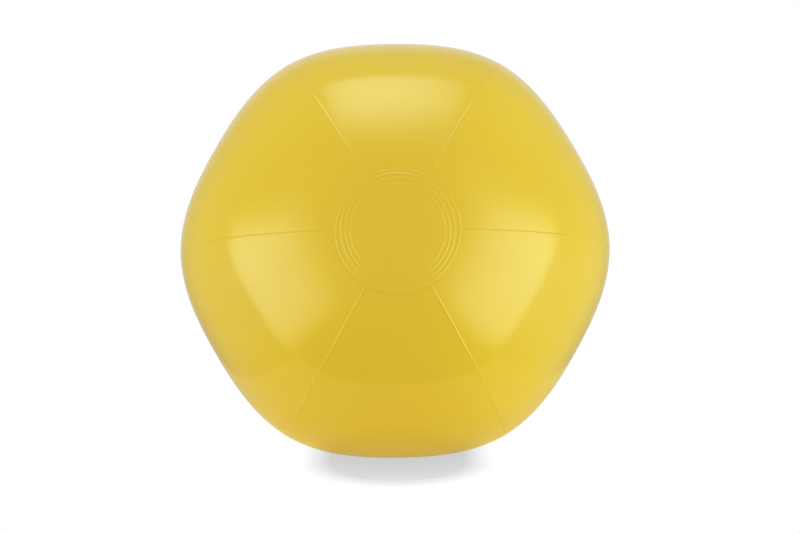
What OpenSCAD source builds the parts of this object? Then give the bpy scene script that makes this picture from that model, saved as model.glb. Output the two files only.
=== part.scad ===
// Inflatable vinyl beach ball: six gore panels, an end disc on each pole and a push-in valve.
// The pole axis runs front to back along Y, tipped up at the front by the lean. The origin is the ball's centre.

/* [Ball] */
// Across two opposite panels, and from pole to pole
ball_d = 270; // [240:1:320]
// How far each seam stands out past its panels at the equator
seam_rise = 5; // [4:0.5:7.5]
// Thickness of the vinyl film
film = 0.25; // [0.2:0.05:0.5]
// Width of the welded fin inside each seam
fin_w = 4; // [2:0.5:8]
// Lean of the pole axis, front disc up
lean = 15; // [0:1:25]
// Depth of the flat patch that the ball sits on
rest_dip = 1; // [1:0.1:2]

/* [End discs] */
// Diameter of each end disc
disc_d = 77; // [64:1:96]
// Diameter of the opening that the panel tips leave under each disc
tip_hole_d = 50; // [30:1:54]
// Number of weld rings round each disc
ring_count = 4; // [2:1:5]
// Distance from one weld ring to the next
ring_pitch = 3; // [2.4:0.1:4]
// Width of a weld ring's bead
ring_w = 1.6; // [1:0.1:2]
// Height of a weld ring's bead
ring_h = 0.3; // [0.15:0.05:0.5]
// From the edge of the disc to its outer weld ring
ring_edge = 1.7; // [1.2:0.1:4]

/* [Valve] */
// Angle from the rear pole to the valve
valve_angle = 50; // [40:1:70]
// Width of the flange ring that is welded under the panel
flange_w = 4.5; // [3:0.5:8]
// Thickness of the flange
flange_t = 0.6; // [0.4:0.1:1.2]
// Room round the stem's lug in the panel's hole
recess_gap = 1.3; // [1:0.1:3]
// Thickness of the web that turns inside out
web_t = 0.5; // [0.3:0.1:0.8]
// From the stem's rim down to the web
web_drop = 7.5; // [5:0.5:10]
// Length of the stem
stem_len = 15; // [12:0.5:20]
// Wall of the stem at its rim
stem_wall = 1.1; // [0.8:0.1:1.6]
// Diameter of the straight bore for the pump's nozzle
bore_d = 6.8; // [5:0.1:9]
// How much wider the seat is than the bore at the rim, on each side
seat_flare = 0.55; // [0.4:0.05:0.8]
// Depth of the tapered seat
seat_depth = 5; // [4.5:0.1:6]
// Thickness of the non-return flap
flap_t = 0.35; // [0.25:0.05:0.6]
// Radius of the flap's hinge bead
flap_bead_r = 0.4; // [0.3:0.05:0.6]
// How far the flap stays inside the stem's edge
flap_inset = 0.4; // [0.2:0.1:0.8]

/* [Stopper] */
// Thickness of the stopper's head
head_t = 1.6; // [1.2:0.1:2.5]
// How far the head stands past the stem
head_lip = 0.6; // [0.3:0.1:1.2]
// Rounding of the head's upper edge
head_round = 0.5; // [0.2:0.1:0.6]
// Length of the plug under the head
plug_len = 4.2; // [3:0.1:4.4]
// Length of the plug's sealing band
band_len = 1.5; // [1:0.1:2]
// Diameter of the plug's tip
tip_d = 4.8; // [3:0.1:5.2]
// Length of the strap from the head to its root
strap_len = 2; // [1.6:0.1:4]
// Width of the strap
strap_w = 3.4; // [2:0.1:5]
// Thickness of the strap
strap_t = 0.9; // [0.6:0.1:1.1]
// Wall of the stem's lug round the strap's root
lug_wall = 0.6; // [0.4:0.1:1]
// Length of the pull tab
tab_len = 2.2; // [1:0.1:2.8]
// Width of the pull tab
tab_w = 5; // [3:0.1:7]

/* [Clearances] */
// Between two welded layers
weld_gap = 0.03; // [0.02:0.01:0.1]
// Between the stopper and its seat
seat_gap = 0.05; // [0.03:0.01:0.1]
// Between the strap's root and its groove
root_gap = 0.05; // [0.03:0.01:0.1]
// Between the web and the pieces it joins
web_gap = 0.06; // [0.04:0.01:0.2]

/* [Hidden] */
$fn = 180;
PANELS = 6;
half_angle = 180 / PANELS;
panel_r = ball_d / 2;
seam_r = panel_r + seam_rise;

// Bow of a panel from seam to seam, as an arc through both seams and the panel's middle
bow_rise = panel_r - seam_r * cos(half_angle);
bow_r = (pow(seam_r * sin(half_angle), 2) + pow(bow_rise, 2)) / (2 * bow_rise);

// Inner face of an end disc, as round as the ball is along a seam at its pole
disc_r = disc_d / 2;
dome_r = seam_r * seam_r / panel_r;
dome_y = panel_r + weld_gap - dome_r;
bead_r = (pow(ring_w / 2, 2) + pow(ring_h, 2)) / (2 * ring_h);
DOME_FACETS = 256;
BEAD_FACETS = 48;

// Stem and stopper, measured along the valve's axis from the outside of the panel
seat_r = bore_d / 2 + seat_flare;
stem_r = seat_r + stem_wall;
head_r = stem_r + head_lip;
rim_z = -head_t - seat_gap;
stem_end_z = rim_z - stem_len;
root_r = strap_t + seat_gap;
root_y = head_r + strap_len;
lug_r = root_r + root_gap + lug_wall;
lug_w = strap_w + 2 * lug_wall;
hole_r = root_y + lug_r + recess_gap;
flange_r = hole_r + flange_w;
flap_y = stem_r - flap_inset - flap_bead_r;
flap_z = stem_end_z - seat_gap;

// Middle line of the web, a curve from the flange down to the stem
web_rim_z = -film - weld_gap - flange_t / 2 - hole_r * hole_r / (2 * panel_r);
web_start = [hole_r - web_gap - web_t / 2, web_rim_z];
web_end = [stem_r + web_gap, rim_z - web_drop];
web_lead = [web_start.x, web_end.y + (web_start.y - web_end.y) / 3];
web_sweep = [web_end.x + (web_start.x - web_end.x) / 2, web_end.y];
WEB_STEPS = 16;

VINYL = "#E2C43A";
VALVE_VINYL = "#E9E7DC";

// Point and normal of the web's middle line, t from 0 at the flange to 1 at the stem
function web_point(t) = pow(1 - t, 3) * web_start + 3 * t * pow(1 - t, 2) * web_lead
    + 3 * t * t * (1 - t) * web_sweep + pow(t, 3) * web_end;
function web_slope(t) = pow(1 - t, 2) * (web_lead - web_start)
    + 2 * t * (1 - t) * (web_sweep - web_lead) + t * t * (web_end - web_sweep);
function web_normal(t) = let (s = web_slope(t)) [-s.y, s.x] / norm(s);
function web_side(offset) = [for (i = [0:WEB_STEPS])
    web_point(i / WEB_STEPS) + offset * web_normal(i / WEB_STEPS)];
function reversed(points) = [for (i = [len(points) - 1:-1:0]) points[i]];

// Height of an end disc's outer face at a distance from the pole axis
function disc_height(distance) = dome_y + sqrt(pow(dome_r + film, 2) - distance * distance);

// Places the ball as it lies, with its front disc tipped up
module as_it_lies() {
    rotate([-lean, 0, 0]) children();
}

// Moves a piece from the +Z axis to the valve on the top panel
module at_valve() {
    rotate([valve_angle - 90, 0, 0]) translate([0, 0, panel_r]) children();
}

// Solid that the panel's outer face bounds, moved in by an inset and turned about the X axis
module barrel(inset) {
    rotate([0, 90, 0]) rotate_extrude() intersection() {
        translate([panel_r - bow_r, 0]) circle(bow_r - inset);
        translate([0, -ball_d]) square([ball_d, 2 * ball_d]);
    }
}

// Level block under the ball, from an inset within the flat patch outwards
module level_block(inset, height) {
    rotate([-lean, 0, 0]) translate([-ball_d, -ball_d, panel_r - rest_dip - inset])
        cube([2 * ball_d, 2 * ball_d, height]);
}

// Wedge between the two seam planes of a panel, each moved in by a setback
module gore_wedge(setback) {
    apex = setback / sin(half_angle);
    half_w = (ball_d - apex) * tan(half_angle);
    rotate([90, 0, 0]) linear_extrude(2 * ball_d, center = true)
        polygon([[0, apex], [half_w, ball_d], [-half_w, ball_d]]);
}

// Round bar along the pole axis
module pole_bar(radius) {
    rotate([90, 0, 0]) cylinder(r = radius, h = 2 * ball_d, center = true);
}

// Film of one gore from seam to seam, cut square at its two tips
module gore_film() {
    difference() {
        intersection() {
            barrel(0);
            gore_wedge(0);
        }
        barrel(film);
        pole_bar(tip_hole_d / 2);
    }
}

// The same film, pressed flat where the ball sits on it
module pressed_film() {
    difference() {
        gore_film();
        level_block(film / 2, ball_d);
    }
    intersection() {
        barrel(0);
        level_block(film, film);
    }
}

// Fin along each seam of a gore, rooted in its film and trimmed off where the tips lie under the end discs
module gore_fins() {
    difference() {
        intersection() {
            barrel(film / 2);
            gore_wedge(0);
        }
        gore_wedge(film);
        barrel(fin_w);
        pole_bar(disc_r);
    }
}

// A gore turned to its place round the pole axis
module panel(place, pressed = false) {
    as_it_lies() rotate([0, place * 2 * half_angle, 0]) union() {
        if (pressed) pressed_film();
        else gore_film();
        gore_fins();
    }
}

// Cross-section of a ball as round as an end disc
module dome(radius) {
    translate([0, dome_y]) circle(radius, $fn = DOME_FACETS);
}

// Domed disc of film with raised weld rings near its edge
module end_disc() {
    rotate_extrude() difference() {
        union() {
            intersection() {
                dome(dome_r + film);
                translate([0, panel_r / 2]) square([disc_r, panel_r]);
            }
            for (i = [0:ring_count - 1]) {
                ring_r = disc_r - ring_edge - i * ring_pitch;
                translate([ring_r, disc_height(ring_r) + ring_h - bead_r])
                    circle(bead_r, $fn = BEAD_FACETS);
            }
        }
        dome(dome_r);
    }
}

module panel_top() {
    color(VINYL) difference() {
        panel(0);
        as_it_lies() at_valve() cylinder(r = hole_r, h = ball_d / 4, center = true);
    }
}

module panel_upper_right() {
    color(VINYL) panel(1);
}

module panel_lower_right() {
    color(VINYL) panel(2);
}

module panel_bottom() {
    color(VINYL) panel(3, pressed = true);
}

module panel_lower_left() {
    color(VINYL) panel(4);
}

module panel_upper_left() {
    color(VINYL) panel(5);
}

module front_disc() {
    color(VINYL) as_it_lies() rotate([90, 0, 0]) end_disc();
}

module rear_disc() {
    color(VINYL) as_it_lies() rotate([-90, 0, 0]) end_disc();
}

// Ring welded to the inside of the panel round its hole
module valve_flange() {
    color(VALVE_VINYL) as_it_lies() difference() {
        intersection() {
            barrel(film + weld_gap);
            at_valve() cylinder(r = flange_r, h = ball_d / 4, center = true);
        }
        barrel(film + weld_gap + flange_t);
        at_valve() cylinder(r = hole_r, h = ball_d / 2, center = true);
    }
}

// Thin cup between the flange and the stem, pushed in
module valve_web() {
    color(VALVE_VINYL) as_it_lies() at_valve() rotate_extrude()
        polygon(concat(web_side(web_t / 2), reversed(web_side(-web_t / 2))));
}

// Way through the stem: the straight bore, then the tapered seat, open at both ends
module stem_bore() {
    rotate_extrude() polygon([[0, stem_end_z - seat_depth], [bore_d / 2, stem_end_z - seat_depth],
        [bore_d / 2, rim_z - seat_depth], [seat_r, rim_z], [seat_r, rim_z + seat_depth], [0, rim_z + seat_depth]]);
}

// Lug at the rim, rounded round the strap's root and level with the rim
module stem_lug() {
    intersection() {
        union() {
            translate([-lug_w / 2, 0, rim_z - lug_r]) cube([lug_w, root_y, lug_r]);
            translate([0, root_y, rim_z]) rotate([0, 90, 0]) cylinder(r = lug_r, h = lug_w, center = true);
        }
        translate([-lug_w, 0, rim_z - stem_len]) cube([2 * lug_w, root_y + 2 * lug_r, stem_len]);
    }
}

// Tube with a tapered seat for the stopper and a lug that carries the strap
module valve_stem() {
    color(VALVE_VINYL) as_it_lies() at_valve() difference() {
        union() {
            translate([0, 0, stem_end_z]) cylinder(r = stem_r, h = stem_len);
            stem_lug();
        }
        stem_bore();
        translate([0, root_y, rim_z]) rotate([0, 90, 0])
            cylinder(r = root_r + root_gap, h = 2 * lug_w, center = true);
    }
}

// Flap under the stem that the air in the ball presses shut
module valve_flap() {
    color(VALVE_VINYL) as_it_lies() at_valve() union() {
        intersection() {
            translate([0, 0, flap_z - flap_t]) cylinder(r = stem_r - flap_inset, h = flap_t);
            translate([-stem_r, -flap_y, flap_z - stem_r]) cube(2 * stem_r);
        }
        translate([0, -flap_y, flap_z - flap_bead_r]) rotate([0, 90, 0])
            cylinder(r = flap_bead_r, h = stem_r, center = true);
    }
}

// Head with a tapered plug under it and a pull tab on its far side
module stopper_plug() {
    head_z = rim_z + seat_gap;
    band_r = seat_r - seat_gap;
    band_end_r = band_r - seat_flare * band_len / seat_depth;
    color(VALVE_VINYL) as_it_lies() at_valve() translate([0, 0, head_z]) union() {
        rotate_extrude() union() {
            square([head_r - head_round, head_t]);
            square([head_r, head_t - head_round]);
            translate([head_r - head_round, head_t - head_round]) circle(head_round);
            polygon([[0, 0], [band_r, 0], [band_end_r, -band_len], [tip_d / 2, -plug_len], [0, -plug_len]]);
        }
        intersection() {
            translate([-tab_w / 2, -head_r - tab_len, 0]) cube([tab_w, head_r + tab_len, strap_t]);
            cylinder(r = head_r + tab_len, h = strap_t);
        }
    }
}

// Strap from the head to the round root that sits in the stem's lug
module stopper_strap() {
    color(VALVE_VINYL) as_it_lies() at_valve() translate([0, root_y, rim_z]) union() {
        difference() {
            translate([-strap_w / 2, -root_y, seat_gap]) cube([strap_w, root_y, strap_t]);
            translate([0, -root_y, 0]) cylinder(r = head_r + weld_gap, h = head_t);
        }
        rotate([0, 90, 0]) cylinder(r = root_r, h = strap_w, center = true);
    }
}

panel_top();
panel_upper_right();
panel_lower_right();
panel_bottom();
panel_lower_left();
panel_upper_left();
front_disc();
rear_disc();
valve_flange();
valve_web();
valve_stem();
valve_flap();
stopper_plug();
stopper_strap();
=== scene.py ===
"""Looks of a plain yellow inflatable beach ball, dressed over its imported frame."""

import logging
import math
from dataclasses import dataclass
from enum import Enum
from typing import Callable, List, Sequence, Tuple, Union

import bpy
import numpy as np
from mathutils import Matrix, Vector


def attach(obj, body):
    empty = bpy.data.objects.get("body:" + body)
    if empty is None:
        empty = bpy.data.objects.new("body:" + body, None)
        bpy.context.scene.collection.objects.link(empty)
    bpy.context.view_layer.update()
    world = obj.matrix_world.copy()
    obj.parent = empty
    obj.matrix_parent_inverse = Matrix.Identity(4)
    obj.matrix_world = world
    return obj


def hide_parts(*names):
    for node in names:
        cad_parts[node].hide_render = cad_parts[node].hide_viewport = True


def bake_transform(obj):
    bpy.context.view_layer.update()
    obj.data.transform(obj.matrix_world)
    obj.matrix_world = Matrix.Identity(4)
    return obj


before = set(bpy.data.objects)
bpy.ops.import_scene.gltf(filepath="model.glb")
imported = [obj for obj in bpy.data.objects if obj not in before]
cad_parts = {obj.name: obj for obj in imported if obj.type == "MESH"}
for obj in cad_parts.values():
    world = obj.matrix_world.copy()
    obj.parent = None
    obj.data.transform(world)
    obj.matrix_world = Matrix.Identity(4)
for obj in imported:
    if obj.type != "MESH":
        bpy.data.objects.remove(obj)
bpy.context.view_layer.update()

MM = 0.001
MERGE_DISTANCE = 0.002 * MM
LOG = logging.getLogger("beach_ball")
Points = np.ndarray
Numbers = Union[float, np.ndarray]
Socket = bpy.types.NodeSocket
Span = Tuple[float, float]
Colour = Tuple[float, float, float, float]
WHITE: Colour = (1.0, 1.0, 1.0, 1.0)
RISING: Span = (0.0, 1.0)
FALLING: Span = (1.0, 0.0)
BALL_CENTRE = Vector((0, 0, 0))


class PanelPlace(Enum):
    """The six gore panels, by their place round the pole axis as seen from the front."""

    TOP = 0
    UPPER_RIGHT = 1
    LOWER_RIGHT = 2
    BOTTOM = 3
    LOWER_LEFT = 4
    UPPER_LEFT = 5

    @property
    def node(self) -> str:
        """Name of the CAD node that the panel stands for."""
        return f"panel_{self.name.lower()}"


class Pole(Enum):
    """The two ends of the ball, by the way their disc faces along the pole axis."""

    FRONT = -1
    REAR = 1

    @property
    def node(self) -> str:
        """Name of the CAD node that the disc stands for."""
        return f"{self.name.lower()}_disc"


class MixKind(Enum):
    """What a Mix node mixes: its data type, then the numbers of its two inputs and of its output."""

    NUMBER = ("FLOAT", 2, 3, 0)
    COLOUR = ("RGBA", 6, 7, 2)


class LampUse(Enum):
    """What a lamp is for: to show in the gloss, or to light the matt colour."""

    GLOSS = "gloss"
    MATT = "matt"


class Bench:
    """Hand tools: adds, shapes and finishes one mesh at a time."""

    @staticmethod
    def clear() -> None:
        """Deselects everything."""
        bpy.ops.object.select_all(action="DESELECT")

    @staticmethod
    def take(piece: bpy.types.Object) -> None:
        """Makes a piece the only selected and active one.

        Args:
            piece: Piece to take.
        """
        Bench.clear()
        piece.select_set(True)
        bpy.context.view_layer.objects.active = piece

    @staticmethod
    def named(name: str) -> bpy.types.Object:
        """Names the piece that an operator has just added.

        Args:
            name: New name of the piece and its mesh.

        Returns:
            The piece.
        """
        piece = bpy.context.active_object
        piece.name = name
        piece.data.name = name
        return piece

    @staticmethod
    def grid(name: str, columns: int, rows: int) -> bpy.types.Object:
        """Adds a flat grid, two metres square.

        Args:
            name: Name of the piece.
            columns: Faces from side to side.
            rows: Faces from end to end.

        Returns:
            The piece.
        """
        Bench.clear()
        bpy.ops.mesh.primitive_grid_add(x_subdivisions=columns, y_subdivisions=rows, size=2)
        return Bench.named(name)

    @staticmethod
    def spun(name: str, profile: Sequence[Tuple[float, float]], steps: int) -> bpy.types.Object:
        """Turns a profile round the Z axis.

        Args:
            name: Name of the piece.
            profile: Distance from the axis and height of each point, in metres.
            steps: Faces all the way round.

        Returns:
            The piece, with its pole and its closing line merged.
        """
        Bench.clear()
        bpy.ops.mesh.primitive_plane_add(size=2)
        piece = Bench.named(name)
        bpy.ops.object.mode_set(mode="EDIT")
        bpy.ops.mesh.select_mode(type="VERT")
        bpy.ops.mesh.merge(type="CENTER")
        bpy.ops.mesh.select_all(action="SELECT")
        bpy.ops.transform.translate(value=(profile[0][0], 0, profile[0][1]))
        for (near, low), (far, high) in zip(profile, profile[1:]):
            step = (far - near, 0, high - low)
            bpy.ops.mesh.extrude_region_move(TRANSFORM_OT_translate={"value": step})
        bpy.ops.mesh.select_all(action="SELECT")
        bpy.ops.mesh.spin(steps=steps, angle=2 * math.pi, center=(0, 0, 0), axis=(0, 0, 1))
        bpy.ops.mesh.select_all(action="SELECT")
        bpy.ops.mesh.remove_doubles(threshold=MERGE_DISTANCE)
        bpy.ops.mesh.normals_make_consistent(inside=False)
        bpy.ops.object.mode_set(mode="OBJECT")
        return piece

    @staticmethod
    def points(piece: bpy.types.Object) -> Points:
        """Reads the vertices of a piece.

        Args:
            piece: Piece to read.

        Returns:
            Places of the vertices, one row each.
        """
        found = np.zeros(len(piece.data.vertices) * 3, np.float32)
        piece.data.vertices.foreach_get("co", found)
        return found.reshape(-1, 3).astype(float)

    @staticmethod
    def set_points(piece: bpy.types.Object, points: Points) -> None:
        """Moves the vertices of a piece, as a sculptor's brush does.

        Args:
            piece: Piece to shape.
            points: New places, one row for each vertex.
        """
        piece.data.vertices.foreach_set("co", points.astype(np.float32).ravel())
        piece.data.update()

    @staticmethod
    def subdivide_where(piece: bpy.types.Object, wanted: Callable[[Points], np.ndarray],
                        cuts: int) -> None:
        """Divides the faces whose middles a test picks.

        Args:
            piece: Piece to divide.
            wanted: Takes face middles and returns which of them to divide.
            cuts: Cuts across each edge.
        """
        Bench.take(piece)
        middles = np.array([face.center for face in piece.data.polygons])
        bpy.ops.object.mode_set(mode="EDIT")
        bpy.ops.mesh.select_mode(type="FACE")
        bpy.ops.mesh.select_all(action="DESELECT")
        bpy.ops.object.mode_set(mode="OBJECT")
        piece.data.polygons.foreach_set("select", wanted(middles))
        bpy.ops.object.mode_set(mode="EDIT")
        bpy.ops.mesh.subdivide(number_cuts=cuts)
        bpy.ops.object.mode_set(mode="OBJECT")

    @staticmethod
    def face_away(piece: bpy.types.Object, centre: Vector) -> None:
        """Turns an open surface so that its faces look away from a point.

        Args:
            piece: Piece to turn.
            centre: Point that the faces look away from.
        """
        faces = piece.data.polygons
        outwards = sum(face.normal.dot(face.center - centre) * face.area for face in faces)
        if outwards < 0:
            piece.data.flip_normals()

    @staticmethod
    def thicken(piece: bpy.types.Object, thickness: float, offset: float = -1.0, even: bool = True) -> None:
        """Gives an open surface its wall.

        Args:
            piece: Piece to thicken.
            thickness: Wall in metres.
            offset: Place of the wall: -1 inwards from the faces, 0 to both sides of them.
            even: Whether the wall keeps its thickness round bends.
        """
        wall = piece.modifiers.new("wall", "SOLIDIFY")
        wall.thickness = thickness
        wall.offset = offset
        wall.use_even_offset = even
        Bench.apply(piece, wall)

    @staticmethod
    def apply(piece: bpy.types.Object, modifier: bpy.types.Modifier) -> None:
        """Applies one modifier of a piece."""
        Bench.take(piece)
        bpy.ops.object.modifier_apply(modifier=modifier.name)

    @staticmethod
    def smooth(piece: bpy.types.Object, angle: float) -> None:
        """Shades a piece smooth apart from its sharp edges.

        Args:
            piece: Piece to shade.
            angle: Least angle of a sharp edge, in degrees.
        """
        Bench.take(piece)
        bpy.ops.object.shade_smooth_by_angle(angle=math.radians(angle))

    @staticmethod
    def dress(piece: bpy.types.Object, material: bpy.types.Material) -> None:
        """Gives a piece one material all over."""
        piece.data.materials.clear()
        piece.data.materials.append(material)

    @staticmethod
    def aim(piece: bpy.types.Object, way: Vector, roll: float) -> None:
        """Points a lamp or the camera.

        Args:
            piece: Lamp or camera.
            way: Direction to look along.
            roll: Turn about that direction, in degrees.
        """
        facing = way.to_track_quat("-Z", "Y")
        piece.rotation_mode = "QUATERNION"
        piece.rotation_quaternion = facing @ Matrix.Rotation(math.radians(roll), 4, "Z").to_quaternion()


class NodeSheet:
    """The node tree of a material, world or lamp, with short ways to add and join nodes."""

    def __init__(self, owner: bpy.types.ID) -> None:
        """Empties the tree.

        Args:
            owner: What the tree belongs to.
        """
        owner.use_nodes = True
        self.nodes = owner.node_tree.nodes
        self.links = owner.node_tree.links
        self.nodes.clear()

    def add(self, kind: str, **settings: object) -> bpy.types.Node:
        """Adds a node.

        Args:
            kind: Node type after the ShaderNode prefix.
            **settings: Properties of the node.

        Returns:
            The node.
        """
        node = self.nodes.new("ShaderNode" + kind)
        for key, value in settings.items():
            setattr(node, key, value)
        return node

    def join(self, start: Socket, end: Socket) -> None:
        """Joins two sockets."""
        self.links.new(start, end)

    def noise(self, where: Socket, scale: float, detail: float) -> Socket:
        """Adds a noise pattern.

        Args:
            where: Coordinates in metres.
            scale: Patches in a metre.
            detail: Finer layers.

        Returns:
            The pattern's value, from 0 to 1.
        """
        node = self.add("TexNoise")
        node.inputs["Scale"].default_value = scale
        node.inputs["Detail"].default_value = detail
        self.join(where, node.inputs["Vector"])
        return node.outputs["Fac"]

    def ranged(self, value: Socket, start: Span, end: Span, smooth: bool = False) -> Socket:
        """Maps a value from one range to another and keeps it within it.

        Args:
            value: Value to map.
            start: Range of the value.
            end: Range of the result.
            smooth: Whether the result eases in and out.

        Returns:
            The result.
        """
        node = self.add("MapRange", interpolation_type="SMOOTHSTEP" if smooth else "LINEAR")
        names = ("From Min", "From Max", "To Min", "To Max")
        for name, number in zip(names, (*start, *end)):
            node.inputs[name].default_value = number
        self.join(value, node.inputs["Value"])
        return node.outputs["Result"]

    def mixed(self, kind: MixKind, share: Socket, first: object, second: object) -> Socket:
        """Mixes two numbers or two colours.

        Args:
            kind: What is mixed.
            share: Share of the second value.
            first: Value, or a socket that gives it.
            second: Value, or a socket that gives it.

        Returns:
            The mixed value.
        """
        data_type, first_input, second_input, output = kind.value
        node = self.add("Mix", data_type=data_type)
        self.join(share, node.inputs["Factor"])
        for number, value in ((first_input, first), (second_input, second)):
            if isinstance(value, Socket):
                self.join(value, node.inputs[number])
            else:
                node.inputs[number].default_value = value
        return node.outputs[output]

    def bump(self, height: Socket, depth: float) -> Socket:
        """Adds a bump.

        Args:
            height: Height from 0 to 1.
            depth: Depth of the whole range, in metres.

        Returns:
            The bumped normal.
        """
        node = self.add("Bump")
        node.inputs["Strength"].default_value = 1.0
        node.inputs["Distance"].default_value = depth
        self.join(height, node.inputs["Height"])
        return node.outputs["Normal"]

    def times(self, first: Socket, second: Socket) -> Socket:
        """Multiplies two numbers.

        Args:
            first: One number.
            second: The other number.

        Returns:
            Their product.
        """
        node = self.add("Math", operation="MULTIPLY")
        self.join(first, node.inputs[0])
        self.join(second, node.inputs[1])
        return node.outputs["Value"]


@dataclass(frozen=True)
class VinylFinish:
    """Glossy soft vinyl, with a faint cloud in its colour, its gloss and its surface, and small specks."""

    name: str
    pale: Colour
    deep: Colour
    speck: Colour
    roughness: Span
    ior: float = 1.53
    noise_span: Span = (0.3, 0.7)
    cloud_scale: float = 9.0
    cloud_detail: float = 3.0
    grain_scale: float = 700.0
    grain_detail: float = 2.0
    ripple_scale: float = 60.0
    ripple_detail: float = 2.0
    ripple_depth: float = 0.012 * MM
    speck_scale: float = 55.0
    speck_size: float = 0.016
    speck_edge: float = 1.6
    speck_share: float = 0.55
    subsurface: float = 0.0
    subsurface_reach: float = 0.0
    subsurface_radius: Tuple[float, float, float] = (1.0, 0.9, 0.75)

    def material(self) -> bpy.types.Material:
        """Makes the finish.

        Returns:
            The material, its patterns laid on Object coordinates.
        """
        material = bpy.data.materials.new(self.name)
        sheet = NodeSheet(material)
        where = sheet.add("TexCoord").outputs["Object"]
        shader = sheet.add("BsdfPrincipled")
        cloud = sheet.noise(where, self.cloud_scale, self.cloud_detail)
        grain = sheet.noise(where, self.grain_scale, self.grain_detail)
        ripple = sheet.noise(where, self.ripple_scale, self.ripple_detail)
        cloudy = sheet.ranged(cloud, self.noise_span, RISING)
        tint = sheet.mixed(MixKind.COLOUR, cloudy, self.pale, self.deep)
        dust = sheet.add("TexVoronoi", feature="F1")
        dust.inputs["Scale"].default_value = self.speck_scale
        sheet.join(where, dust.inputs["Vector"])
        speck_rim = (self.speck_size, self.speck_edge * self.speck_size)
        spot = sheet.ranged(dust.outputs["Distance"], speck_rim, (self.speck_share, 0.0))
        colour = sheet.mixed(MixKind.COLOUR, spot, tint, self.speck)
        sheet.join(colour, shader.inputs["Base Color"])
        gloss = sheet.ranged(grain, self.noise_span, self.roughness)
        sheet.join(gloss, shader.inputs["Roughness"])
        sheet.join(sheet.bump(ripple, self.ripple_depth), shader.inputs["Normal"])
        shader.inputs["IOR"].default_value = self.ior
        shader.inputs["Subsurface Weight"].default_value = self.subsurface
        if self.subsurface:
            shader.inputs["Subsurface Scale"].default_value = self.subsurface_reach
            shader.inputs["Subsurface Radius"].default_value = self.subsurface_radius
        sheet.join(shader.outputs["BSDF"], sheet.add("OutputMaterial").inputs["Surface"])
        return material


BALL_VINYL = VinylFinish("ball_vinyl", pale=(0.785, 0.548, 0.019, 1.0), deep=(0.765, 0.530, 0.017, 1.0),
                         speck=(0.50, 0.33, 0.01, 1.0), roughness=(0.12, 0.17), ior=1.65)
VALVE_VINYL = VinylFinish("valve_vinyl", pale=(0.80, 0.79, 0.72, 1.0), deep=(0.74, 0.73, 0.65, 1.0),
                          speck=(0.6, 0.58, 0.5, 1.0), roughness=(0.30, 0.40), cloud_scale=120.0,
                          ripple_scale=400.0, ripple_depth=0.02 * MM, speck_scale=260.0,
                          subsurface=0.35, subsurface_reach=1.5 * MM)


@dataclass(frozen=True)
class BallForm:
    """Outer form of the inflated ball, in millimetres, with its pole axis along Y before it leans."""

    panel_radius: float = 135.0
    seam_radius: float = 140.0
    half_gore: float = math.radians(30)
    lean: float = math.radians(15)
    rest_height: float = -134.0
    rest_softness: float = 0.3
    rest_blend: float = 4.0

    @property
    def bow(self) -> Tuple[float, float]:
        """The bow of a panel from seam to seam.

        Returns:
            Radius of the bow, and its centre's place out from the ball's centre.
        """
        half_width = self.seam_radius * math.sin(self.half_gore)
        rise = self.panel_radius - self.seam_radius * math.cos(self.half_gore)
        radius = (half_width ** 2 + rise ** 2) / (2 * rise)
        return radius, self.panel_radius - radius

    def reach(self, colatitude: np.ndarray, turn: np.ndarray, rounding: Numbers) -> np.ndarray:
        """Distance of the film from the ball's centre.

        Args:
            colatitude: Angle from the front pole.
            turn: Angle round the pole axis from a panel's middle.
            rounding: Share of the ridge at a seam that the air rounds off.

        Returns:
            Distances in millimetres.
        """
        radius, centre = self.bow
        aside = np.sin(colatitude) * np.sin(turn)
        bowed = centre * np.sqrt(1 - aside ** 2) + np.sqrt(radius ** 2 - (centre * aside) ** 2)
        share = np.clip(np.abs(turn) / self.half_gore, 0, 1)
        fuller = 0.5 - 0.5 * np.cos(np.pi * share) - share ** 2
        rise = self.seam_radius - self.panel_radius
        return bowed + rounding * rise * fuller * np.sin(colatitude) ** 2

    def direction(self, colatitude: np.ndarray, turn: np.ndarray) -> Points:
        """Directions from the ball's centre, in the frame of the top panel."""
        around = np.sin(colatitude)
        return np.stack([around * np.sin(turn), -np.cos(colatitude), around * np.cos(turn)], axis=-1)

    def turned(self, points: Points, turn: float) -> Points:
        """Turns points round the pole axis.

        Args:
            points: Points in the frame of the top panel.
            turn: Angle, to the right over the top as seen from the front.

        Returns:
            The turned points.
        """
        x, y, z = points.T
        cosine, sine = math.cos(turn), math.sin(turn)
        return np.stack([x * cosine + z * sine, y, z * cosine - x * sine], axis=-1)

    def leaning(self, points: Points) -> Points:
        """Tips points with the pole axis, front end up.

        Args:
            points: Points with the pole axis level.

        Returns:
            Points as the ball lies.
        """
        x, y, z = points.T
        cosine, sine = math.cos(self.lean), math.sin(self.lean)
        return np.stack([x, y * cosine + z * sine, z * cosine - y * sine], axis=-1)

    def rested(self, points: Points) -> Points:
        """Presses points flat against the floor, with a soft edge.

        Args:
            points: Points of the film as the ball lies.

        Returns:
            The pressed points.
        """
        over = points[:, 2] - self.rest_height
        pressed = points.copy()
        pressed[:, 2] = self.rest_height + 0.5 * (over + np.sqrt(over ** 2 + self.rest_softness ** 2))
        near = np.clip((self.rest_blend - over) / self.rest_blend, 0, 1)
        pressed[:, 2] = near * pressed[:, 2] + (1 - near) * points[:, 2]
        return pressed


FORM = BallForm()


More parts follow.
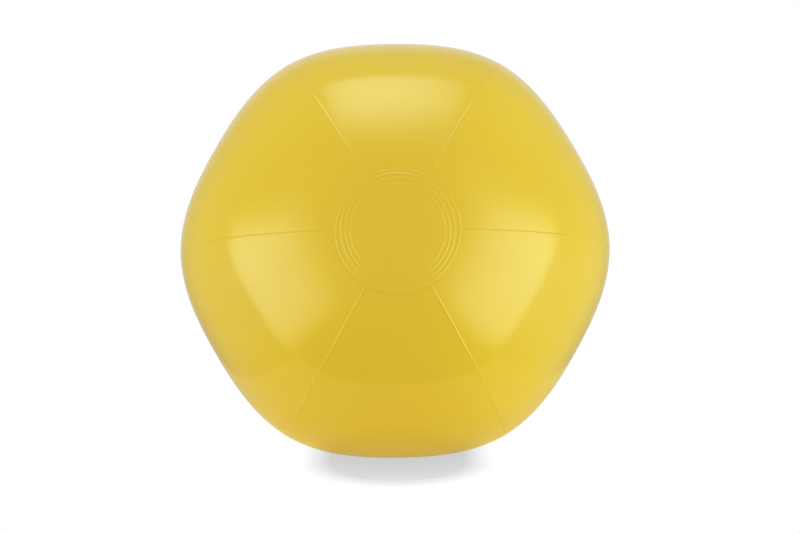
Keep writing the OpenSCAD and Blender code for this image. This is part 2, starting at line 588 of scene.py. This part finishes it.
@dataclass(frozen=True)
class ValveFrame:
    """Frame of the valve in millimetres: X across the ball, Y down the rear, Z out of the panel."""

    from_pole: float = math.radians(50)

    @property
    def out(self) -> np.ndarray:
        """Direction out of the panel."""
        angle = self.from_pole - FORM.lean
        return np.array([0, math.cos(angle), math.sin(angle)])

    @property
    def down(self) -> np.ndarray:
        """Direction down the rear of the ball."""
        angle = self.from_pole - FORM.lean
        return np.array([0, math.sin(angle), -math.cos(angle)])

    def point(self, y: float, z: float) -> Vector:
        """A point of the valve's middle plane as the ball lies, in metres."""
        return Vector((y * self.down + (FORM.panel_radius + z) * self.out) * MM)

    def matrix(self) -> Matrix:
        """Brings a piece modelled in metres on the Z axis to the valve.

        Returns:
            The matrix of the valve's frame.
        """
        place = self.point(0, 0)
        columns = (np.array([1, 0, 0]), self.down, self.out)
        rows = [[*(float(column[i]) for column in columns), place[i]] for i in range(3)]
        return Matrix([*rows, [0, 0, 0, 1]])

    def off_axis(self, points: Points) -> np.ndarray:
        """Measures how far points lie from the valve's axis.

        Args:
            points: Points as the ball lies, in millimetres.

        Returns:
            Distances in millimetres, endless for points on the far side of the ball.
        """
        along = points @ self.out
        away = np.linalg.norm(points - along[:, None] * self.out, axis=1)
        return np.where(along > 0, away, np.inf)


VALVE_FRAME = ValveFrame()


@dataclass(frozen=True)
class Wave:
    """One of the sine waves that make a form a little uneven; shift is how far a phase of 1 moves it."""

    height: float
    rate: float
    shift: float = 0.0
    offset: float = 0.0

    def at(self, place: np.ndarray, phase: Numbers) -> np.ndarray:
        """Height of the wave at places along it."""
        return self.height * np.sin(self.rate * place + self.shift * phase + self.offset)


@dataclass
class GorePanels:
    """The six gores of film, each rolled inwards at its seams into two welded fins, in millimetres."""

    finish: bpy.types.Material
    film: float = 0.25
    fin_depth: float = 4.0
    fin_trim: float = 38.5
    fin_taper: float = 6.0
    fin_stub: float = 0.02
    tip_radius: float = 25.0
    seam_gap: float = 0.012
    roll_radius: float = 0.035
    ridge_height: float = 0.2
    ridge_width: float = 0.58
    ridge_fade: float = 0.3
    ridge_fade_power: int = 8
    rounding: float = 0.72
    equator_rounding: float = 0.2
    equator_power: int = 4
    edge_bunching: float = 4.5
    pucker: float = 0.035
    pucker_reach: float = 5.0
    pucker_waves: Tuple[Wave, ...] = (
        Wave(1.0, 1 / 2.1, shift=1.3),
        Wave(0.7, 1 / 3.4, offset=0.4),
        Wave(0.5, 1 / 1.3),
    )
    rows: int = 168
    film_columns: int = 80
    roll_columns: int = 6
    hole_radius: float = 10.55
    weld_middle: float = 12.9
    weld_width: float = 1.5
    weld_power: int = 6
    weld_depth: float = 0.2
    weld_bead: float = 0.12
    weld_bead_offset: float = 2.1
    weld_bead_width: float = 0.4
    weld_reach: float = 19.0
    valve_cuts: int = 4
    hole_sides: int = 128
    hole_cutter_depth: float = 30.0
    smooth_angle: float = 40.0

    @property
    def edge_columns(self) -> int:
        """Columns of the fin and the roll on each side."""
        return self.roll_columns + 1

    @property
    def columns(self) -> int:
        """Columns from fin to fin."""
        return self.film_columns + 2 * self.edge_columns

    def rolled_edge(self, inner: np.ndarray, reach: np.ndarray) -> Tuple[np.ndarray, np.ndarray]:
        """Rolls the edges of the film inwards into the fins.

        Args:
            inner: Columns from the nearer edge of the grid.
            reach: Distance of the panel from the pole axis.

        Returns:
            Distance from the middle of the seam, and height over the film.
        """
        roll_turn = np.clip((self.edge_columns - inner) / self.roll_columns, 0, 1) * math.pi / 2
        aside = self.seam_gap + self.roll_radius * (1 - np.sin(roll_turn))
        sunk = -self.roll_radius * (1 - np.cos(roll_turn))
        trimmed = np.clip((reach - self.fin_trim) / self.fin_taper, self.fin_stub, 1)
        sunk -= np.clip(1 - inner, 0, 1) * (self.fin_depth - self.roll_radius) * trimmed
        return aside, sunk

    def raised(self, colatitude: np.ndarray, turn: np.ndarray, side: np.ndarray) -> np.ndarray:
        """Height of the ridge at a seam and of the puckers beside it.

        Args:
            colatitude: Angle from the front pole.
            turn: Angle round the pole axis from the panel's middle.
            side: -1 on the left of the panel's middle, 1 on the right.

        Returns:
            Heights in millimetres.
        """
        around = np.sin(colatitude)
        to_seam = np.clip(FORM.half_gore - np.abs(turn), 0, None)
        from_seam = FORM.panel_radius * around * np.sin(to_seam)
        length = colatitude * FORM.panel_radius
        uneven = sum(wave.at(length, side) for wave in self.pucker_waves)
        puckers = self.pucker * uneven * np.exp(-from_seam / self.pucker_reach) * around ** 2
        ridge = self.ridge_height * np.exp(-(from_seam / self.ridge_width) ** 2)
        ridge *= 1 - self.ridge_fade * around ** self.ridge_fade_power
        return puckers + ridge

    def surface(self, flat: Points) -> Points:
        """Lays a flat grid over the top gore.

        Args:
            flat: Points of the grid, from -1 to 1 across X and from front to rear along Y.

        Returns:
            Points in millimetres in the frame of the top panel.
        """
        column = (flat[:, 0] + 1) / 2 * self.columns
        along = (flat[:, 1] + 1) / 2
        tip = math.asin(self.tip_radius / FORM.panel_radius)
        colatitude = tip + along * (math.pi - 2 * tip)
        reach = FORM.panel_radius * np.sin(colatitude)
        side = np.where(column < self.columns / 2, -1.0, 1.0)
        inner = np.minimum(column, self.columns - column)
        aside, sunk = self.rolled_edge(inner, reach)

        at_edge = FORM.half_gore - np.arcsin(aside / reach)
        widest = FORM.half_gore - np.arcsin((self.seam_gap + self.roll_radius) / reach)
        share = np.clip(np.abs(column - self.columns / 2) / (self.film_columns / 2), 0, 1)
        bunched = 1 - np.sinh(self.edge_bunching * (1 - share)) / math.sinh(self.edge_bunching)
        turn = np.where(inner < self.edge_columns, at_edge, bunched * widest) * side

        rounding = self.rounding + self.equator_rounding * np.sin(colatitude) ** self.equator_power
        distance = FORM.reach(colatitude, turn, rounding) + sunk + self.raised(colatitude, turn, side)
        return FORM.direction(colatitude, turn) * distance[:, None]

    def place(self, points: Points, place: PanelPlace) -> Points:
        """Brings a gore from the top to its place on the lying ball."""
        return FORM.leaning(FORM.turned(points, 2 * FORM.half_gore * place.value))

    def weld_round_valve(self, points: Points) -> Points:
        """Presses the ring of the valve's weld into the top panel.

        Args:
            points: Points of the panel as the ball lies.

        Returns:
            The pressed points.
        """
        off = VALVE_FRAME.off_axis(points) - self.weld_middle
        pressed = self.weld_depth * np.exp(-(off / self.weld_width) ** self.weld_power)
        squeezed = self.weld_bead * np.exp(-((off - self.weld_bead_offset) / self.weld_bead_width) ** 2)
        return points + (squeezed - pressed)[:, None] * VALVE_FRAME.out

    def near_valve(self, flat: Points) -> np.ndarray:
        """Which points of the flat grid come to lie round the valve on the top panel."""
        return VALVE_FRAME.off_axis(self.place(self.surface(flat), PanelPlace.TOP)) < self.weld_reach

    def cut_hole(self, piece: bpy.types.Object) -> None:
        """Cuts the valve's hole.

        Args:
            piece: The top panel.
        """
        Bench.clear()
        bpy.ops.mesh.primitive_cylinder_add(vertices=self.hole_sides, radius=self.hole_radius * MM,
                                            depth=self.hole_cutter_depth * MM)
        cutter = Bench.named("valve_hole_cutter")
        cutter.data.transform(VALVE_FRAME.matrix())
        hole = piece.modifiers.new("hole", "BOOLEAN")
        hole.operation = "DIFFERENCE"
        hole.solver = "EXACT"
        hole.object = cutter
        Bench.apply(piece, hole)
        bpy.data.objects.remove(cutter)

    def build(self, place: PanelPlace) -> bpy.types.Object:
        """Models one panel.

        Args:
            place: Which of the six.

        Returns:
            The finished piece.
        """
        piece = Bench.grid(f"gore_{place.name.lower()}", self.columns, self.rows)
        if place is PanelPlace.TOP:
            Bench.subdivide_where(piece, self.near_valve, self.valve_cuts)
        points = self.place(self.surface(Bench.points(piece)), place)
        if place is PanelPlace.TOP:
            points = self.weld_round_valve(points)
        if place is PanelPlace.BOTTOM:
            points = FORM.rested(points)
        Bench.set_points(piece, points * MM)
        Bench.face_away(piece, BALL_CENTRE)
        Bench.thicken(piece, self.film * MM)
        if place is PanelPlace.TOP:
            self.cut_hole(piece)
        Bench.smooth(piece, self.smooth_angle)
        Bench.dress(piece, self.finish)
        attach(piece, "ball")
        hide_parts(place.node)
        return piece


@dataclass
class EndDiscs:
    """The round patches of film welded over the panel tips, with their rings of weld, in millimetres."""

    finish: bpy.types.Material
    film: float = 0.25
    radius: float = 38.5
    gap: float = 0.03
    rounding: float = 1.0
    ring_radii: Tuple[float, ...] = (36.8, 33.8, 30.8, 27.8)
    ring_height: float = 0.19
    ring_width: float = 0.58
    ring_phase: float = 1.7
    pole_phase: float = 0.6
    groove: float = 0.09
    groove_offset: float = 1.5
    sector_step: float = 0.3
    sector_phase: float = 2.4
    wobble_waves: Tuple[Wave, ...] = (Wave(0.10, 2, shift=1.0), Wave(0.06, 5, shift=2.1))
    mean_press: float = 0.85
    uneven_press: float = 0.25
    least_press_turn: float = 3 * math.pi / 4
    press_waves: Tuple[Wave, ...] = (Wave(0.12, 1, shift=2.3), Wave(0.1, 3, shift=1.0))
    seam_sharpness: int = 24
    seam_fade: float = 0.45
    steps: int = 216
    fine_step: float = 0.2
    coarse_step: float = 2.0
    fine_from: float = 24.0
    smooth_angle: float = 50.0

    def profile(self) -> List[Tuple[float, float]]:
        """Flat profile of the disc from its middle to its edge.

        Returns:
            Distance from the axis and height of each point, in metres.
        """
        coarse = np.arange(0, self.fine_from, self.coarse_step)
        fine_count = round((self.radius - self.fine_from) / self.fine_step) + 1
        fine = np.linspace(self.fine_from, self.radius, fine_count)
        return [(float(distance) * MM, 0.0) for distance in (*coarse, *fine)]

    def rings(self, distance: np.ndarray, turn: np.ndarray, pole: Pole) -> np.ndarray:
        """Height of the weld rings over the film.

        Args:
            distance: Distance from the pole axis.
            turn: Angle round the pole axis.
            pole: Which disc.

        Returns:
            Heights in millimetres.
        """
        raised = np.zeros_like(distance)
        gores = len(PanelPlace)
        at_seam = np.cos(gores / 2 * (turn - FORM.half_gore)) ** self.seam_sharpness
        sector = np.round(turn / (2 * FORM.half_gore)) % gores
        for number, ring in enumerate(self.ring_radii):
            phase = self.ring_phase * number + self.pole_phase * pole.value
            wobble = self.sector_step * np.sin(self.sector_phase * sector + phase) * (1 - at_seam)
            wobble += sum(wave.at(turn, phase) for wave in self.wobble_waves)
            press = self.mean_press - self.uneven_press * np.cos(turn - self.least_press_turn)
            press += sum(wave.at(turn, phase) for wave in self.press_waves)
            off = distance - ring - wobble
            bead = np.exp(-(off / self.ring_width) ** 2)
            side = np.exp(-((off + self.groove_offset) / self.ring_width) ** 2)
            form = self.ring_height * bead - self.groove * side
            raised += form * press * (1 - self.seam_fade * at_seam)
        return raised

    def surface(self, flat: Points, pole: Pole) -> Points:
        """Lays the flat disc over a pole.

        Args:
            flat: Points of the flat disc in millimetres.
            pole: Which pole.

        Returns:
            Points as the ball lies, in millimetres.
        """
        distance = np.hypot(flat[:, 0], flat[:, 1])
        turn = np.arctan2(flat[:, 0], flat[:, 1])
        colatitude = np.arcsin(distance / FORM.panel_radius)
        gore = 2 * FORM.half_gore
        from_middle = turn - gore * np.round(turn / gore)
        reach = FORM.reach(colatitude, from_middle, self.rounding) + self.gap + self.film
        reach += self.rings(distance, turn, pole)
        points = FORM.direction(colatitude, turn) * reach[:, None]
        points[:, 1] *= -pole.value
        return FORM.leaning(points)

    def build(self, pole: Pole) -> bpy.types.Object:
        """Models one disc.

        Args:
            pole: Which of the two.

        Returns:
            The finished piece.
        """
        piece = Bench.spun(f"disc_{pole.name.lower()}", self.profile(), self.steps)
        Bench.set_points(piece, self.surface(Bench.points(piece) / MM, pole) * MM)
        Bench.face_away(piece, BALL_CENTRE)
        Bench.thicken(piece, self.film * MM)
        Bench.smooth(piece, self.smooth_angle)
        Bench.dress(piece, self.finish)
        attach(piece, "ball")
        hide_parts(pole.node)
        return piece


@dataclass
class AirValve:
    """The push-in valve: its web, in one bent shape, and the moulded pieces, in millimetres."""

    finish: bpy.types.Material
    web_thickness: float = 0.5
    web_rim: Tuple[float, float] = (10.24, -1.0)
    web_foot: Tuple[float, float] = (5.11, -9.15)
    rim_pull: float = 1 / 3
    foot_pull: float = 1 / 2
    web_points: int = 28
    web_steps: int = 96
    over_web: float = 40.0
    smooth_angle: float = 40.0
    frame_nodes: Tuple[str, ...] = (
        "valve_flange", "valve_stem", "valve_flap", "stopper_plug", "stopper_strap")

    def web_profile(self) -> List[Tuple[float, float]]:
        """Middle of the web's wall, a curve from the flange down to the stem.

        Returns:
            Distance from the axis and height of each point, in metres.
        """
        (rim_out, rim_up), (foot_out, foot_up) = self.web_rim, self.web_foot
        under_rim = (rim_out, foot_up + (rim_up - foot_up) * self.rim_pull)
        beside_foot = (foot_out + (rim_out - foot_out) * self.foot_pull, foot_up)
        ends = np.array([self.web_rim, under_rim, beside_foot, self.web_foot])
        share = np.linspace(0, 1, self.web_points)[:, None]
        curve = ((1 - share) ** 3 * ends[0] + 3 * share * (1 - share) ** 2 * ends[1]
                 + 3 * share ** 2 * (1 - share) * ends[2] + share ** 3 * ends[3])
        return [(float(out) * MM, float(up) * MM) for out, up in curve]

    def build_web(self) -> bpy.types.Object:
        """Models the web.

        Returns:
            The finished piece, bent between the ball and the stem.
        """
        piece = Bench.spun("turning_web", self.web_profile(), self.web_steps)
        Bench.face_away(piece, Vector((0, 0, self.over_web * MM)))
        Bench.thicken(piece, self.web_thickness * MM, offset=0.0, even=False)
        piece.data.transform(VALVE_FRAME.matrix())
        Bench.smooth(piece, self.smooth_angle)
        Bench.dress(piece, self.finish)
        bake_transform(piece)
        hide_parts("valve_web")
        return piece

    def dress_frame(self) -> List[bpy.types.Object]:
        """Dresses the moulded pieces that keep the frame's own shape.

        Returns:
            The pieces.
        """
        nodes = [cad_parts[name] for name in self.frame_nodes]
        for node in nodes:
            Bench.dress(node, self.finish)
        return nodes


def away_from_ball(azimuth: float, elevation: float) -> Vector:
    """Finds the direction from the ball to a lamp or the camera.

    Args:
        azimuth: Angle to the right of the front, in degrees.
        elevation: Angle above the level of the ball's centre, in degrees.

    Returns:
        The direction, of length 1.
    """
    turn, rise = math.radians(azimuth), math.radians(elevation)
    return Vector((math.sin(turn) * math.cos(rise), -math.cos(turn) * math.cos(rise), math.sin(rise)))


@dataclass(frozen=True)
class Softbox:
    """A studio lamp with a diffuser, aimed at the ball, in degrees and metres."""

    name: str
    azimuth: float
    elevation: float
    distance: float
    width: float
    height: float
    radiance: float
    edge_share: float
    use: LampUse = LampUse.GLOSS
    hot_spot: Tuple[float, float] = (0.5, 0.5)
    hot_reach: float = 0.7
    fades: Tuple[float, float, float, float] = (0.05, 0.05, 0.05, 0.05)
    roll: float = 0.0
    colour: Tuple[float, float, float] = (0.77, 1.02, 0.84)
    fringe: Colour = WHITE

    def glow(self, lamp: bpy.types.Light) -> None:
        """Makes the diffuser brightest at its hot spot and lets it fade to its fringe at its four sides.

        Args:
            lamp: Lamp to set.
        """
        sheet = NodeSheet(lamp)
        spot = sheet.add("NewGeometry").outputs["Parametric"]
        away = sheet.add("VectorMath", operation="DISTANCE")
        away.inputs[1].default_value = (*self.hot_spot, 0)
        sheet.join(spot, away.inputs[0])
        level = sheet.ranged(away.outputs["Value"], (0.0, self.hot_reach), (1.0, self.edge_share),
                             smooth=True)
        sides = sheet.add("SeparateXYZ")
        sheet.join(spot, sides.inputs["Vector"])
        for axis, near, far in (("X", *self.fades[:2]), ("Y", *self.fades[2:])):
            near_fade = sheet.ranged(sides.outputs[axis], (0.0, near), RISING, smooth=True)
            far_fade = sheet.ranged(sides.outputs[axis], (1.0 - far, 1.0), FALLING, smooth=True)
            level = sheet.times(sheet.times(level, near_fade), far_fade)
        light = sheet.add("Emission")
        sheet.join(sheet.mixed(MixKind.COLOUR, level, self.fringe, WHITE), light.inputs["Color"])
        sheet.join(level, light.inputs["Strength"])
        sheet.join(light.outputs["Emission"], sheet.add("OutputLight").inputs["Surface"])

    def build(self) -> bpy.types.Object:
        """Adds the lamp.

        Returns:
            The lamp, out of the camera's sight.
        """
        away = away_from_ball(self.azimuth, self.elevation)
        Bench.clear()
        bpy.ops.object.light_add(type="AREA", location=away * self.distance)
        lamp = bpy.context.active_object
        lamp.name = self.name
        Bench.aim(lamp, -away, self.roll)
        lamp.data.shape = "RECTANGLE"
        lamp.data.size = self.width
        lamp.data.size_y = self.height
        lamp.data.energy = self.radiance * math.pi * self.width * self.height
        lamp.data.color = self.colour
        self.glow(lamp.data)
        lamp.visible_camera = False
        lamp.visible_diffuse = self.use is LampUse.MATT
        lamp.visible_glossy = self.use is LampUse.GLOSS
        return lamp


@dataclass
class Studio:
    """Camera, lamps, white surroundings and pale floor, in metres, degrees and pixels."""

    image: Tuple[int, int] = (800, 533)
    focal_pixels: float = 2290.0
    sensor: float = 36.0
    distance: float = 1.5
    azimuth: float = -0.8
    elevation: float = 9.5
    roll: float = 0.4
    ball_pixel: Tuple[float, float] = (395.3, 250.9)
    floor_width: float = 0.34
    floor_length: float = 0.3
    floor_colour: Colour = (0.82, 0.82, 0.82, 1.0)
    floor_cover: float = 0.12
    # The floor's coordinates are folded to their absolute values, so this height is positive.
    shade_end: Tuple[float, float, float] = (0.0, 0.034, -FORM.rest_height * MM)
    shade_reach: Span = (0.043, 0.062)
    shade_depth: float = 0.4
    shade_height: float = 0.05
    shade_samples: int = 16
    ambient: float = 0.945
    bounce: Colour = (0.86, 0.71, 0.66, 1.0)
    bounce_span: Span = (-0.8, 0.0)
    room: Span = (0.2, 0.36)
    room_span: Span = (-0.6, 0.2)
    # Painted bounce light on the floor, shown only in the gloss: warm yellow near the ball, a dimmer warm
    # tone further off.
    painted_bounce_near: Colour = (0.95, 0.75, 0.27, 1.0)
    painted_bounce_far: Colour = (0.62, 0.55, 0.38, 1.0)
    painted_bounce_reach: Span = (0.06, 0.15)
    backdrop: Span = (0.85, 1.12)
    lamps: Tuple[Softbox, ...] = (
        Softbox("gloss_left", azimuth=-61, elevation=4, distance=1.3, width=1.56, height=2.0,
                radiance=2.1, edge_share=0.4, hot_spot=(0.31, 0.48),
                fades=(0.04, 0.42, 0.26, 0.42), roll=27, fringe=(1.0, 1.0, 0.4, 1.0)),
        Softbox("gloss_right", azimuth=54.5, elevation=5, distance=1.3, width=1.64, height=2.3,
                radiance=2.2, edge_share=0.4, hot_spot=(0.68, 0.48),
                fades=(0.42, 0.04, 0.26, 0.38), roll=-27, fringe=(1.0, 1.0, 0.4, 1.0)),
        Softbox("gloss_top", azimuth=0, elevation=88, distance=1.1, width=0.98, height=1.2,
                radiance=1.9, edge_share=0.28, hot_spot=(0.42, 0.62), hot_reach=0.6,
                fades=(0.08, 0.08, 0.5, 0.06)),
        Softbox("sheen_left", azimuth=-112, elevation=-18, distance=1.5, width=3.0, height=2.4,
                radiance=0.24, edge_share=1.0, fades=(0.5, 0.5, 0.5, 0.5)),
        Softbox("sheen_right", azimuth=112, elevation=-18, distance=1.5, width=3.0, height=2.4,
                radiance=0.32, edge_share=1.0, fades=(0.5, 0.5, 0.5, 0.5)),
        Softbox("fill_left", azimuth=-88, elevation=-15, distance=2.0, width=1.0, height=1.0,
                radiance=3.5, edge_share=0.8, use=LampUse.MATT),
        Softbox("fill_right", azimuth=84, elevation=-15, distance=2.0, width=1.0, height=1.0,
                radiance=5.8, edge_share=0.8, use=LampUse.MATT),
        Softbox("fill_top", azimuth=180, elevation=68, distance=2.0, width=1.0, height=1.0,
                radiance=2.9, edge_share=0.8, use=LampUse.MATT),
    )

    def build_camera(self) -> bpy.types.Object:
        """Adds the camera so that the ball's centre falls on its pixel.

        Returns:
            The camera.
        """
        away = away_from_ball(self.azimuth, self.elevation)
        facing = (-away).to_track_quat("-Z", "Y")
        right, up = facing @ Vector((1, 0, 0)), facing @ Vector((0, 1, 0))
        pixel = self.distance / self.focal_pixels
        pixels_right = self.image[0] / 2 - self.ball_pixel[0]
        pixels_down = self.image[1] / 2 - self.ball_pixel[1]
        target = (right * pixels_right - up * pixels_down) * pixel
        Bench.clear()
        bpy.ops.object.camera_add(location=away * self.distance)
        camera = bpy.context.active_object
        camera.name = "camera"
        Bench.aim(camera, (target - camera.location).normalized(), -self.roll)
        camera.data.sensor_width = self.sensor
        camera.data.lens = self.focal_pixels / self.image[0] * self.sensor
        bpy.context.scene.camera = camera
        return camera

    def build_world(self) -> None:
        """Makes the surroundings: white to the eye, plain light on the matt colour, a room in the gloss."""
        world = bpy.data.worlds.new("white_room")
        sheet = NodeSheet(world)
        path = sheet.add("LightPath")
        way = sheet.add("SeparateXYZ")
        sheet.join(sheet.add("TexCoord").outputs["Generated"], way.inputs["Vector"])
        room = sheet.ranged(way.outputs["Z"], self.room_span, self.room)
        behind = sheet.ranged(way.outputs["Y"], self.backdrop, RISING)
        gloss = sheet.mixed(MixKind.NUMBER, behind, room, 1.0)
        level = sheet.mixed(MixKind.NUMBER, path.outputs["Is Glossy Ray"], self.ambient, gloss)
        for name in ("Is Transmission Ray", "Is Camera Ray"):
            level = sheet.mixed(MixKind.NUMBER, path.outputs[name], level, 1.0)
        rise = sheet.ranged(way.outputs["Z"], self.bounce_span, RISING)
        low = sheet.mixed(MixKind.COLOUR, rise, self.bounce, WHITE)
        tint = sheet.mixed(MixKind.COLOUR, path.outputs["Is Diffuse Ray"], WHITE, low)
        sky = sheet.add("Background")
        sheet.join(tint, sky.inputs["Color"])
        sheet.join(level, sky.inputs["Strength"])
        sheet.join(sky.outputs["Background"], sheet.add("OutputWorld").inputs["Surface"])
        bpy.context.scene.world = world

    def from_contact(self, sheet: NodeSheet) -> Socket:
        """Measures how far the floor is from the middle line of the shade, which runs from front to rear.

        Args:
            sheet: Node tree of the floor.

        Returns:
            Distance in metres, the same in front of the ball and behind it.
        """
        folded = sheet.add("VectorMath", operation="ABSOLUTE")
        sheet.join(sheet.add("TexCoord").outputs["Object"], folded.inputs[0])
        beyond = sheet.add("VectorMath", operation="SUBTRACT")
        beyond.inputs[1].default_value = self.shade_end
        sheet.join(folded.outputs["Vector"], beyond.inputs[0])
        outside = sheet.add("VectorMath", operation="MAXIMUM")
        outside.inputs[1].default_value = (0.0, 0.0, 0.0)
        sheet.join(beyond.outputs["Vector"], outside.inputs[0])
        away = sheet.add("VectorMath", operation="LENGTH")
        sheet.join(outside.outputs["Vector"], away.inputs[0])
        return away.outputs["Value"]

    def lit_share(self, sheet: NodeSheet, away: Socket) -> Socket:
        """Takes the ball's contact shade out of the floor's light.

        Args:
            sheet: Node tree of the floor.
            away: Distance from the middle line of the shade.

        Returns:
            Light from 0 to 1.
        """
        near = sheet.ranged(away, self.shade_reach, (self.shade_depth, 0.0))
        open_sky = sheet.add("AmbientOcclusion", samples=self.shade_samples)
        open_sky.inputs["Distance"].default_value = self.shade_height
        hidden = sheet.ranged(open_sky.outputs["AO"], RISING, FALLING)
        return sheet.ranged(sheet.times(near, hidden), RISING, FALLING)

    def floor_material(self) -> bpy.types.Material:
        """Pale floor that shows the ball's soft shade to the eye and turns white further off.

        Returns:
            The material.
        """
        material = bpy.data.materials.new("pale_floor")
        sheet = NodeSheet(material)
        path = sheet.add("LightPath")
        away = self.from_contact(sheet)
        # Glossy rays see the floor in painted bounce light, warm near the ball and dimmer further off; the
        # eye sees it white.
        open_floor = sheet.ranged(away, self.painted_bounce_reach, RISING, smooth=True)
        gloss = sheet.mixed(MixKind.COLOUR, open_floor, self.painted_bounce_near, self.painted_bounce_far)
        seen = sheet.mixed(MixKind.COLOUR, path.outputs["Is Glossy Ray"], WHITE, gloss)
        shown = sheet.add("Emission")
        sheet.join(seen, shown.inputs["Color"])
        sheet.join(self.lit_share(sheet, away), shown.inputs["Strength"])
        matt = sheet.add("BsdfDiffuse")
        matt.inputs["Color"].default_value = self.floor_colour
        thin = sheet.add("MixShader")
        cover = sheet.ranged(path.outputs["Is Diffuse Ray"], RISING, (1.0, self.floor_cover))
        sheet.join(cover, thin.inputs["Fac"])
        sheet.join(sheet.add("BsdfTransparent").outputs["BSDF"], thin.inputs[1])
        sheet.join(matt.outputs["BSDF"], thin.inputs[2])
        floor = thin.outputs["Shader"]
        for name in ("Is Camera Ray", "Is Glossy Ray", "Is Transmission Ray"):
            mix = sheet.add("MixShader")
            sheet.join(path.outputs[name], mix.inputs["Fac"])
            sheet.join(floor, mix.inputs[1])
            sheet.join(shown.outputs["Emission"], mix.inputs[2])
            floor = mix.outputs["Shader"]
        sheet.join(floor, sheet.add("OutputMaterial").inputs["Surface"])
        return material

    def build_floor(self) -> bpy.types.Object:
        """Adds the floor under the ball.

        Returns:
            The floor.
        """
        Bench.clear()
        bpy.ops.mesh.primitive_plane_add(size=1)
        floor = Bench.named("floor")
        floor.data.transform(Matrix.Diagonal((self.floor_width, self.floor_length, 1, 1)))
        floor.data.transform(Matrix.Translation((0, 0, FORM.rest_height * MM)))
        Bench.dress(floor, self.floor_material())
        return floor

    def build(self) -> None:
        """Sets up the whole studio."""
        bpy.context.scene.view_settings.view_transform = "Standard"
        LOG.info("camera %s", self.build_camera().name)
        self.build_world()
        LOG.info("floor %s", self.build_floor().name)
        for lamp in self.lamps:
            LOG.info("lamp %s", lamp.build().name)


def main() -> None:
    """Builds the ball's pieces in order and sets up the studio."""
    logging.basicConfig(level=logging.INFO, format="%(name)s: %(message)s")
    ball_vinyl = BALL_VINYL.material()
    valve_vinyl = VALVE_VINYL.material()
    panels = GorePanels(ball_vinyl)
    for place in PanelPlace:
        LOG.info("panel %s", panels.build(place).name)
    discs = EndDiscs(ball_vinyl)
    for pole in Pole:
        LOG.info("disc %s", discs.build(pole).name)
    valve = AirValve(valve_vinyl)
    LOG.info("web %s", valve.build_web().name)
    for node in valve.dress_frame():
        LOG.info("moulding %s", node.name)
    Studio().build()


if __name__ == "__main__":
    main()
